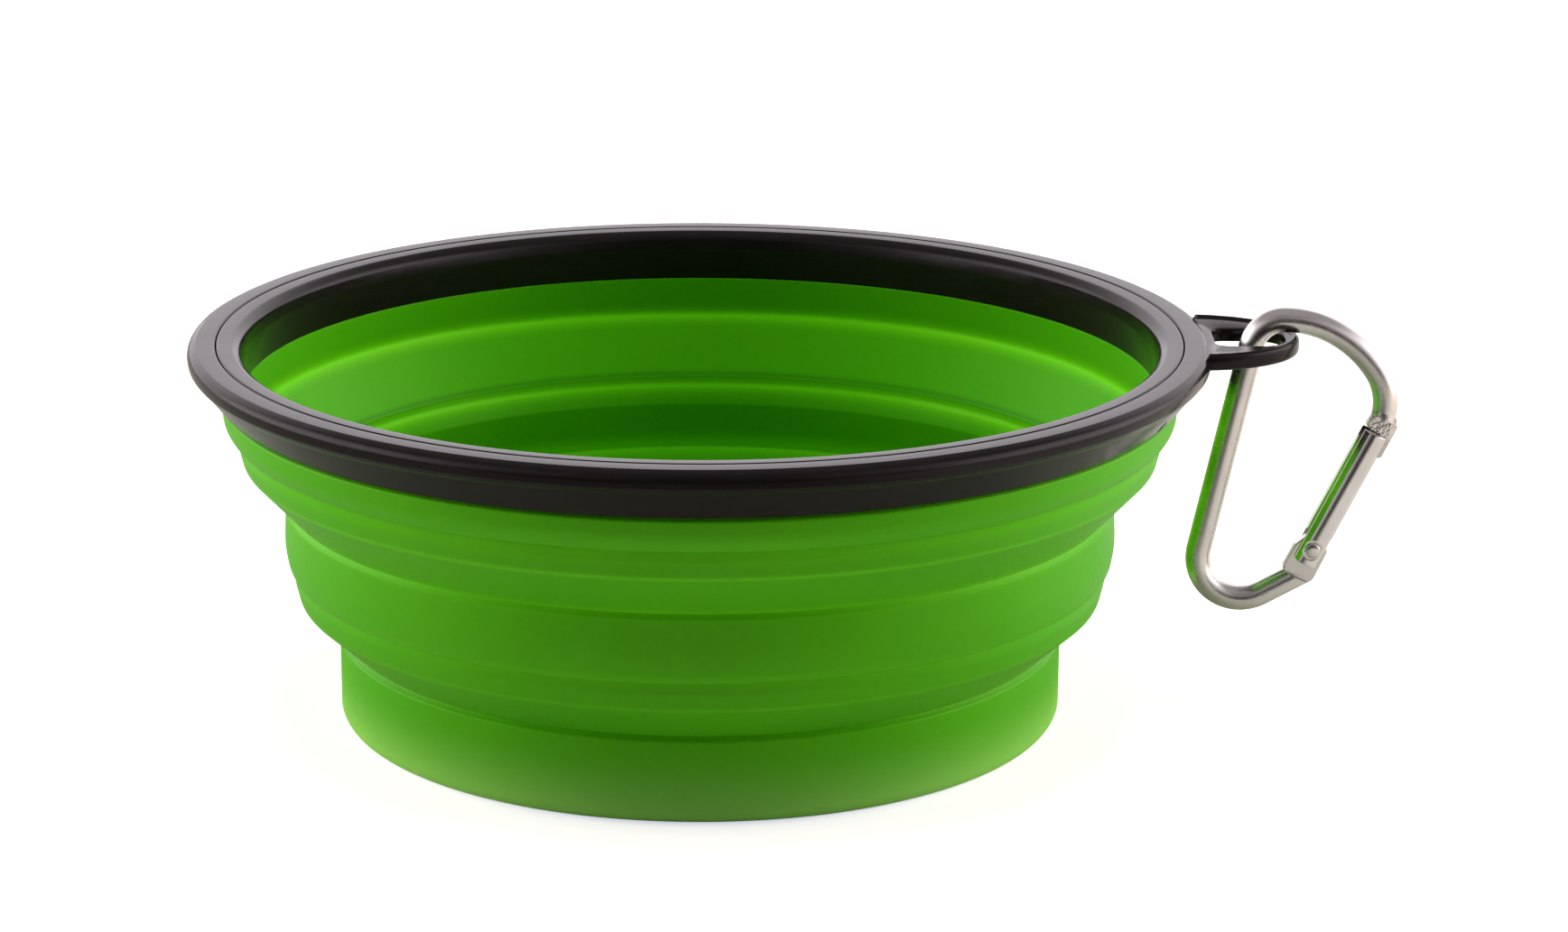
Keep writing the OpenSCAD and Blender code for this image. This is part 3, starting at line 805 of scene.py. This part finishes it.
def tab_ring(inset):
    """Places round the tab's edge, a half ellipse on a straight root, drawn in by an inset."""
    half = TAB_HALF - inset
    root_x = TAB_ROOT_X + inset
    reach = TAB_TIP_X - inset - root_x
    bend = int(TAB_POINTS * TAB_BEND_SHARE)
    places = [Vector((root_x + reach * math.cos(a), half * math.sin(a)))
              for a in [math.pi * (k / (bend - 1) - 0.5) for k in range(bend)]]
    root = [Vector((root_x, half)), Vector((root_x, -half))]
    return places + resampled(root, TAB_POINTS - bend + 2)[1:-1]


def slot_ring(out):
    """Places round the slot, let out on every side, starting opposite the tab's first place."""
    half, low, high = SLOT_HALF + out, SLOT_IN_X - out, SLOT_OUT_X + out
    near, far = SLOT_ROUND + out, SLOT_FAR_ROUND + out
    outline = rounded([(low, -half, near), (high, -half, far), (high, half, far), (low, half, near)])
    middle = Vector(((low + high) / 2, 0))
    start = min(range(len(outline)), key=lambda i: (outline[i] - tab_ring(0)[0]).length)
    turned = outline[start:] + outline[:start + 1]
    if (turned[1] - middle).cross(turned[0] - middle) > 0:
        turned.reverse()
    return resampled(turned, TAB_POINTS + 1)[:-1]


def tab_bmesh():
    """Flat tab with a round bead along its edge and rounded lips round its slot."""
    edge = [(inset, TAB_FACE_Z + rise) for inset, rise in TAB_BEAD_FOOT]
    edge += [(inset, TAB_TOP_Z - drop) for inset, drop in TAB_BEAD]
    edge += [(inset, TAB_FOOT_Z + rise) for inset, rise in TAB_UNDERSIDE]
    lip = [(out, TAB_FOOT_Z + rise) for out, rise in SLOT_LIP_FOOT]
    lip += [(out, TAB_FACE_Z - drop) for out, drop in SLOT_LIP_FACE]
    bm = bmesh.new()
    rings = []
    for inset, z in edge:
        rings.append([bm.verts.new((x * MM, y * MM, min(z, TAB_ROOT_Z if x < TAB_JOIN_X else z) * MM))
                      for x, y in tab_ring(inset)])
    for out, z in lip:
        rings.append([bm.verts.new((x * MM, y * MM, z * MM)) for x, y in slot_ring(out)])
    for ring, after in zip(rings, rings[1:] + rings[:1]):
        strip(bm, ring, after)
    return bm


def skirt_hole(side):
    """The tool that cuts one small hole through the skirt."""
    place = Matrix.Rotation(math.radians(side * SKIRT_HOLE_ANGLE), 4, "Z") @ Matrix.Translation(
        (0, 0, SKIRT_HOLE_Z * MM)) @ Matrix.Rotation(math.pi / 2, 4, "Y")
    hole = prism(circle(SKIRT_HOLE_R, SKIRT_HOLE_SIDES), SEAT_R - SKIRT_HOLE_IN, RIM_R + CUT_OVER)
    return to_object("hole", hole, place)


def wire_steps(place, heading, moves):
    """Places and headings along bends (radius, turn) and straights (0, length)."""
    line = [(place.copy(), heading)]
    for radius, amount in moves:
        length = amount if radius == 0 else radius * math.radians(abs(amount))
        pieces = max(2, math.ceil(length / WIRE_STEP))
        for _ in range(pieces):
            turn = 0 if radius == 0 else amount / pieces
            chord = length / pieces
            if turn:
                chord = 2 * radius * math.sin(math.radians(abs(turn)) / 2)
            place = place + unit(heading + turn / 2) * chord
            heading += turn
            line.append((place, heading))
    return line


# The clip's two sides from the top of its hook, and the gate's line between their ends
HOOK_TOP = Vector((-HANG_BACK, HOOK_RISE))
SPINE_SIDE = wire_steps(HOOK_TOP, 180, [(HOOK_R, 90 - SPINE_LEAN), (0, SPINE_LEN), (HEEL_R, HEEL_TURN),
                                        (0, TOE_LEN)])
CROWN_SIDE = wire_steps(HOOK_TOP, 0, [(CROWN_R, -CROWN_TURN), (BROW_R, -BROW_TURN), (CHEEK_R, -CHEEK_TURN),
                                      (0, NOSE_LEN)])
TOE_END = SPINE_SIDE[-1][0]
NOSE_END = CROWN_SIDE[-1][0]
GATE_AHEAD = (NOSE_END - TOE_END).normalized()
GATE_ANGLE = math.atan2(GATE_AHEAD.y, GATE_AHEAD.x)
RIVET_AT = TOE_END + GATE_AHEAD * BOSS_LEN
NOSE_AT = (NOSE_END - TOE_END).length - BOSS_LEN
GATE_TOP = NOSE_AT - NOSE_BLADE_LEN - END_GAP
TONGUE_FOOT = GATE_TOP - TONGUE_LEN
BORE_TOP = TONGUE_FOOT - GATE_BORE_END

# A drawing in the clip's plane stands upright across the tab
AT_BAR = Matrix.Translation((BAR_X * MM, 0, BAR_Z * MM)) @ Matrix.Rotation(math.pi / 2, 4, "X")
ALONG_GATE = (AT_BAR @ Matrix.Translation((RIVET_AT.x * MM, RIVET_AT.y * MM, 0))
              @ Matrix.Rotation(GATE_ANGLE, 4, "Z") @ Matrix.Diagonal((1, -1, 1, 1)))
GATE_AXIS = ALONG_GATE @ Matrix.Rotation(math.pi / 2, 4, "Y")
HAMMERED_AT = ALONG_GATE @ Vector(((NOSE_AT - NOSE_BLADE_LEN / 2) * MM, 0, 0))


def wire_bmesh():
    """The bent wire as a swept round, a little past its flattened ends."""
    toe_over, nose_over = WIRE_R, WIRE_R / 2
    line = list(reversed(SPINE_SIDE))[:-1] + CROWN_SIDE
    first = (TOE_END + unit(SPINE_SIDE[-1][1]) * toe_over, SPINE_SIDE[-1][1])
    last = (NOSE_END + unit(CROWN_SIDE[-1][1]) * nose_over, CROWN_SIDE[-1][1])
    flip = len(SPINE_SIDE)
    bm = bmesh.new()
    rings = []
    for i, (place, heading) in enumerate([first, *line, last]):
        side = unit(heading + (-90 if i < flip else 90))
        rings.append([])
        for k in range(WIRE_SIDES):
            a = 2 * math.pi * k / WIRE_SIDES
            flat = place + side * (WIRE_R * math.cos(a))
            rings[-1].append(bm.verts.new((flat.x * MM, flat.y * MM, WIRE_R * math.sin(a) * MM)))
    return capped(bm, rings)


def plate(corners):
    """A flat plate in the gate's line from a rounded outline, with its edges eased."""
    outline = rounded(corners)
    middle = sum(outline, Vector((0, 0))) / len(outline)
    flat_half = BLADE_HALF - PLATE_EASE
    bm = bmesh.new()
    rings = []
    for ease, z in ((PLATE_EASE, -BLADE_HALF), (0, -flat_half), (0, flat_half), (PLATE_EASE, BLADE_HALF)):
        rings.append([])
        for p in outline:
            drawn = p + (middle - p).normalized() * ease
            rings[-1].append(bm.verts.new((drawn.x * MM, drawn.y * MM, z * MM)))
    return to_object("plate", capped(bm, rings), ALONG_GATE)


def shaving(start, end, side):
    """The tool that flattens the wire on one side, with a sloped shoulder at its start."""
    outline = [(start - SHAVE_BACK, BLADE_HALF + SHAVE_DEPTH), (start, BLADE_HALF + SHAVE_RISE),
               (start + SHAVE_RUN, BLADE_HALF), (end, BLADE_HALF), (end, BLADE_HALF + SHAVE_DEPTH)]
    bm = bmesh.new()
    rings = [[bm.verts.new((x * MM, y * MM, side * z * MM)) for x, z in outline]
             for y in (-SHAVE_HALF, SHAVE_HALF)]
    return to_object("shaving", capped(bm, rings), ALONG_GATE)


def boss_plate():
    """The flattened hinge boss, from its root on the toe to its end inside the gate."""
    return plate([
        (-BOSS_LEN - ROOT_LEN, -ROOT_HALF, ROOT_ROUND), (-BOSS_FOOT, -BOSS_HALF, BOSS_FOOT_ROUND),
        (-BOSS_NECK, -BOSS_HALF, BOSS_NECK_ROUND), (EYE_HALF, -EYE_HALF, EYE_ROUND),
        (HINGE_REACH, -HINGE_HALF, HINGE_ROUND), (HINGE_REACH, HINGE_HALF, HINGE_ROUND),
        (EYE_HALF, EYE_HALF, EYE_ROUND), (BOSS_NECK, BOSS_NECK_HALF, BOSS_NECK_ROUND),
        (-BOSS_FOOT, BOSS_HALF, BOSS_FOOT_ROUND),
        (-BOSS_LEN - BOSS_BACK_LEN, BOSS_BACK_HALF, ROOT_ROUND)])


def nose_plate():
    """The flattened nose, with the tongue that hooks into the gate."""
    lip = GATE_R + TONGUE_PROUD
    return plate([
        (NOSE_AT + ROOT_LEN, -ROOT_HALF, ROOT_ROUND), (NOSE_AT - NOSE_BLADE_LEN, -WIRE_R, NOSE_ROUND),
        (NOSE_AT - NOSE_BLADE_LEN, lip - TONGUE_T, TONGUE_ROOT_ROUND),
        (TONGUE_FOOT, lip - TONGUE_T, TONGUE_LOW_ROUND), (TONGUE_FOOT, lip, TONGUE_TOP_ROUND),
        (NOSE_AT - NOSE_LIP_BACK, lip, NOSE_ROUND), (NOSE_AT + ROOT_LEN, ROOT_HALF, ROOT_ROUND)])


def clip_wire(material):
    """Bent wire with the flattened hinge boss at its toe and the flattened, hooked nose."""
    wire = to_object("clip_wire", wire_bmesh(), AT_BAR)
    cut(wire, [shaving(-BOSS_LEN, HINGE_REACH, side) for side in (-1, 1)])
    mirror = ALONG_GATE @ Matrix.Diagonal((-1, 1, 1, 1)) @ ALONG_GATE.inverted()
    nose_shavings = [shaving(-NOSE_AT, CUT_OVER - TONGUE_FOOT, side) for side in (-1, 1)]
    for tool in nose_shavings:
        tool.data.transform(mirror)
        tool.data.flip_normals()
    cut(wire, nose_shavings)
    cut(wire, [boss_plate(), nose_plate()], "UNION")
    hole = prism(circle(RIVET_HOLE_R, RIVET_HOLE_SIDES), -RIVET_CUT_HALF, RIVET_CUT_HALF)
    cut(wire, [to_object("hole", hole, ALONG_GATE)])
    return dress(wire, material, "clip", ["clip_body"])


def gate_slots():
    """Outlines cut through the gate: round the boss, round the tongue, and the notch for the nose."""
    low, high, reach = GATE_FOOT - CUT_OVER, GATE_TOP + CUT_OVER, GATE_CUT_HALF
    slot_foot = TONGUE_FOOT - SLOT_GAP
    notch_foot = GATE_TOP - NOTCH_LEN
    return [
        [(low, -reach), (PLUNGER_FOOT, -reach), (PLUNGER_FOOT, reach), (low, reach)],
        [(slot_foot, GATE_R + TONGUE_PROUD - TONGUE_T - SLOT_GAP), (high, NOSE_SLOT_LOW), (high, reach),
         (slot_foot, reach)],
        [(notch_foot, -reach), (high, -reach), (high, reach), (notch_foot, reach)]]


def gate_cheeks():
    """What the gate keeps of its tube: all of its top, and two cheeks with round ends at its foot."""
    high, wide, close = GATE_TOP + CUT_OVER, GATE_R + CUT_OVER, GATE_R + GATE_CHEEK_GAP
    outline = rounded([
        (high, -wide, 0), (high, wide, 0), (GATE_CHEEK_TOP, wide, 0), (0, close, 0),
        (GATE_FOOT, close, GATE_CHEEK_ROUND), (GATE_FOOT, -close, GATE_CHEEK_ROUND), (0, -close, 0),
        (GATE_CHEEK_TOP, -wide, 0)])
    return to_object("cheeks", prism(outline, -RIVET_CUT_HALF, RIVET_CUT_HALF), ALONG_GATE)


def gate_tube(material):
    """Tube that closes the clip, slotted at its foot for the boss and at its top for the nose."""
    outside = rounded([(0, GATE_FOOT, 0), (GATE_R, GATE_FOOT, GATE_EDGE), (GATE_R, GATE_TOP, GATE_EDGE),
                       (0, GATE_TOP, 0)], closed=False)
    tube = to_object("gate_tube", lathe(outside, GATE_SIDES), GATE_AXIS)
    cut(tube, [gate_cheeks()], "INTERSECT")
    foot = GATE_FOOT - CUT_OVER
    bore = [(0, foot), (GATE_BORE_R, foot), (GATE_BORE_R, BORE_TOP), (0, BORE_TOP)]
    tools = [to_object("bore", lathe(bore, GATE_BORE_SIDES), GATE_AXIS)]
    tools += [to_object("slot", prism(slot, -GATE_SLOT_HALF, GATE_SLOT_HALF), ALONG_GATE)
              for slot in gate_slots()]
    shank = prism(circle(RIVET_R, RIVET_SIDES), -RIVET_CUT_HALF, RIVET_CUT_HALF)
    tools.append(to_object("shank", shank, ALONG_GATE))
    seat = GATE_R - RIVET_HEAD_H
    flare_r = RIVET_FACE_R + RIVET_FACE_FLARE
    for side in (-1, 1):
        face = [(0, side * seat), (RIVET_FACE_R, side * seat), (flare_r, side * RIVET_CUT_HALF),
                (0, side * RIVET_CUT_HALF)]
        tools.append(to_object("face", lathe(face, RIVET_FACE_SIDES), ALONG_GATE))
    cut(tube, tools)
    return dress(tube, material, "gate", ["clip_gate"])


def gate_rivet(material):
    """Rivet with a domed head on each side of the gate."""
    seat = GATE_R - RIVET_HEAD_H
    dome = [(RIVET_HEAD_R * share, GATE_R - drop, ease) for share, drop, ease in RIVET_DOME]
    half = [(0, GATE_R, 0), *dome, (RIVET_HEAD_R, seat + RIVET_EDGE_H, RIVET_EDGE_ROUND),
            (RIVET_HEAD_R, seat, 0), (RIVET_R, seat, 0)]
    other = [(r, -z, e) for r, z, e in reversed(half)]
    outline = rounded(half + other, closed=False)
    rivet = to_object("gate_rivet_pin", lathe(outline, RIVET_HEAD_SIDES), ALONG_GATE)
    return dress(rivet, material, "gate", ["gate_rivet"])


def gate_plunger(material):
    """Plunger in the gate's bore, rounded where it presses on the boss."""
    top = PLUNGER_FOOT + PLUNGER_LEN
    outline = rounded([(0, PLUNGER_FOOT, 0), (PLUNGER_R, PLUNGER_FOOT, PLUNGER_NOSE_ROUND),
                       (PLUNGER_R, top, PLUNGER_EDGE), (0, top, 0)], closed=False)
    plunger = to_object("plunger_pin", lathe(outline, PLUNGER_SIDES), GATE_AXIS)
    return dress(plunger, material, "plunger", ["gate_plunger"])


def gate_spring(material):
    """Compression spring between the plunger and the blind end of the bore."""
    foot = PLUNGER_FOOT + PLUNGER_LEN + 2 * SPRING_WIRE_R
    top = BORE_TOP - 2 * SPRING_WIRE_R
    bm = bmesh.new()
    rings = []
    steps = SPRING_TURNS * SPRING_STEPS
    for k in range(steps + 1):
        turn = 2 * math.pi * SPRING_TURNS * k / steps
        rings.append([])
        for i in range(SPRING_SIDES):
            a = 2 * math.pi * i / SPRING_SIDES
            out = SPRING_R + SPRING_WIRE_R * math.cos(a)
            along = foot + (top - foot) * k / steps + SPRING_WIRE_R * math.sin(a)
            place = (out * math.cos(turn) * MM, out * math.sin(turn) * MM, along * MM)
            rings[-1].append(bm.verts.new(place))
    spring = to_object("spring_coil", capped(bm, rings), GATE_AXIS)
    squeezed = ("plunger", "gate", tuple(GATE_AXIS @ Vector((0, 0, foot * MM))),
                tuple(GATE_AXIS @ Vector((0, 0, top * MM))))
    return dress(spring, material, squeezed, ["gate_spring"])


def silicone_body(material):
    """The one silicone moulding, in five pieces that meet at its creases."""
    low_fold = ("base", "middle", (0, 0, LOWER_SEAM_Z * MM), (0, 0, MIDDLE_FOOT_Z * MM))
    high_fold = ("middle", "rim", (0, 0, UPPER_SEAM_Z * MM), (0, 0, TOP_FOOT_Z * MM))
    lower = fold_outline(MIDDLE_R, MIDDLE_FOOT_Z, BASE_R, LOWER_SEAM_Z, LOWER_BEND_Z)
    upper = fold_outline(TOP_R, TOP_FOOT_Z, MIDDLE_R, UPPER_SEAM_Z, UPPER_BEND_Z)
    plan = [
        ("bowl_base", base_outline(), "base", "base"),
        ("lower_fold", lower, low_fold, "fold_lower"),
        ("middle_wall", middle_wall_outline(), "middle", "wall_middle"),
        ("upper_fold", upper, high_fold, "fold_upper"),
        ("top_wall", top_wall_outline(), "rim", "wall_top")]
    for name, outline, body, node in plan:
        dress(to_object(name, lathe(outline)), material, body, [node])


def rim(material):
    """The two clamped rings, the outer one with its tab, slot and skirt holes."""
    inner = to_object("rim_inner_ring", lathe(inner_ring_outline()))
    dress(inner, material, "rim", ["inner_ring"])
    outer = to_object("rim_outer_ring", lathe(outer_ring_outline()))
    cut(outer, [to_object("tab", tab_bmesh())], "UNION")
    cut(outer, [skirt_hole(side) for side in (-1, 1)])
    dress(outer, material, "rim", ["outer_ring"])


def sight_of(tree):
    """1 for rays straight from the camera, and 1 for rays mirrored or seen through glass."""
    rays = tree.nodes.new("ShaderNodeLightPath").outputs
    return rays["Is Camera Ray"], maths(tree, "MAXIMUM", rays["Is Glossy Ray"], rays["Is Transmission Ray"])


def floor():
    """A pale floor, white to the camera, that bounces light and is darker in mirrored views."""
    bm = bmesh.new()
    bmesh.ops.create_grid(bm, x_segments=1, y_segments=1, size=FLOOR_HALF)
    ground = to_object("floor", bm)
    material, tree, shader, place = new_material("pale_floor")
    out = next(n for n in tree.nodes if n.type == "OUTPUT_MATERIAL")
    camera_ray, mirrored = sight_of(tree)
    x, y, _ = parts_of(tree, place)
    aside = ranged(tree, maths(tree, "ABSOLUTE", x), *ASIDE_SPAN, 0, ASIDE_LEAN)
    beyond = ranged(tree, total(tree, y, aside), *FRONT_SPAN)
    lit = mixed(tree, ranged(tree, x, *BESIDE_SPAN), FLOOR_NEAR, FLOOR_BESIDE)
    dim = mixed(tree, beyond, (FLOOR_FAR,) * 3, lit)
    outer = ranged(tree, section_of(tree, place)[0], FLOOR_EDGE, 3 * FLOOR_EDGE)
    white = tree.nodes.new("ShaderNodeEmission")
    tree.links.new(mixed(tree, outer, FLOOR_TINT, WHITE), white.inputs["Color"])
    glow = ranged(tree, outer, 0, 1, FLOOR_GLOW, 1)
    tree.links.new(product(tree, camera_ray, glow), white.inputs["Strength"])
    tree.links.new(mixed(tree, mirrored, (FLOOR_PALE,) * 3, dim), shader.inputs["Base Color"])
    settle(shader, {"Roughness": FLOOR_ROUGHNESS, "Specular IOR Level": 0.0})
    both = tree.nodes.new("ShaderNodeAddShader")
    tree.links.new(white.outputs[0], both.inputs[0])
    tree.links.new(shader.outputs[0], both.inputs[1])
    tree.links.new(both.outputs[0], out.inputs["Surface"])
    ground.data.materials.append(material)


def lamp(name, place, size, radiance, colour):
    """A studio softbox of some radiance that faces the bowl. The room stands for it in mirrored views."""
    light = bpy.data.lights.new(name, "AREA")
    light.shape = "RECTANGLE"
    light.size, light.size_y = size
    light.energy = radiance * math.pi * size[0] * size[1]
    light.color = colour
    box = bpy.data.objects.new(name, light)
    box.visible_glossy = False
    box.location = place
    box.rotation_euler = (Vector(LAMP_AIM) - Vector(place)).to_track_quat("-Z", "Y").to_euler()
    bpy.context.collection.objects.link(box)


def room():
    """A pale room: white to the camera, and in mirrored views bright at both sides and dark in front."""
    world = bpy.data.worlds.new("studio")
    bpy.context.scene.world = world
    world.use_nodes = True
    tree = world.node_tree
    backdrop = next(n for n in tree.nodes if n.type == "BACKGROUND")
    camera_ray, mirrored = sight_of(tree)
    x, y, z = parts_of(tree, tree.nodes.new("ShaderNodeTexCoord").outputs["Generated"])
    height = ranged(tree, z, *CEILING_SPAN, HORIZON, CEILING)
    around = product(tree, ranged(tree, y, *DARK_SPAN, ROOM_DARK, 1), height)
    shine = ranged(tree, maths(tree, "ABSOLUTE", x), *SIDE_SPAN, 0, SIDE_SHINE)
    shown = total(tree, camera_ray, product(tree, mirrored, total(tree, around, shine)))
    unseen = maths(tree, "SUBTRACT", 1, total(tree, camera_ray, mirrored))
    strength = total(tree, shown, product(tree, unseen, ROOM_FILL))
    tree.links.new(strength, backdrop.inputs["Strength"])
    tree.links.new(mixed(tree, mirrored, WHITE, ROOM_TINT), backdrop.inputs["Color"])


def studio():
    """Wide softboxes on both sides and one overhead, in a pale room."""
    for name, side in (("left_box", -1), ("right_box", 1)):
        place = (side * SIDE_PLACE[0], *SIDE_PLACE[1:])
        lamp(name, place, SIDE_SIZE, SIDE_RADIANCE, SIDE_COLOUR)
    lamp("top_box", TOP_PLACE, TOP_SIZE, TOP_RADIANCE, WHITE)
    room()


def camera():
    """The camera at the photograph's place, tilted down and turned a little."""
    lens = bpy.data.cameras.new("camera")
    lens.sensor_width = SENSOR_WIDTH
    lens.lens = PHOTO_FOCAL * SENSOR_WIDTH / PHOTO_WIDTH
    lens.clip_start, lens.clip_end = CAMERA_SPAN
    eye = bpy.data.objects.new("camera", lens)
    turn = (Matrix.Rotation(math.radians(90 - CAMERA_PITCH), 4, "X")
            @ Matrix.Rotation(math.radians(CAMERA_ROLL), 4, "Z"))
    eye.matrix_world = Matrix.Translation(CAMERA_PLACE) @ turn
    bpy.context.collection.objects.link(eye)
    bpy.context.scene.camera = eye


silicone_body(silicone_material())
rim(plastic_material())
clip_wire(metal_material("clip_nickel", CLIP_NICKEL, CLIP_ROUGH, PLATED_PITTING, HAMMERED_AT))
gate_tube(metal_material("gate_nickel", GATE_NICKEL, GATE_ROUGH, PLATED_PITTING))
gate_rivet(metal_material("rivet_bright", RIVET_BRIGHT, RIVET_ROUGH, PLATED_PITTING))
steel = metal_material("spring_steel", SPRING_STEEL, SPRING_ROUGH, STEEL_PITTING)
gate_plunger(steel)
gate_spring(steel)
camera()
studio()
floor()
bpy.context.scene.view_settings.view_transform = "Standard"
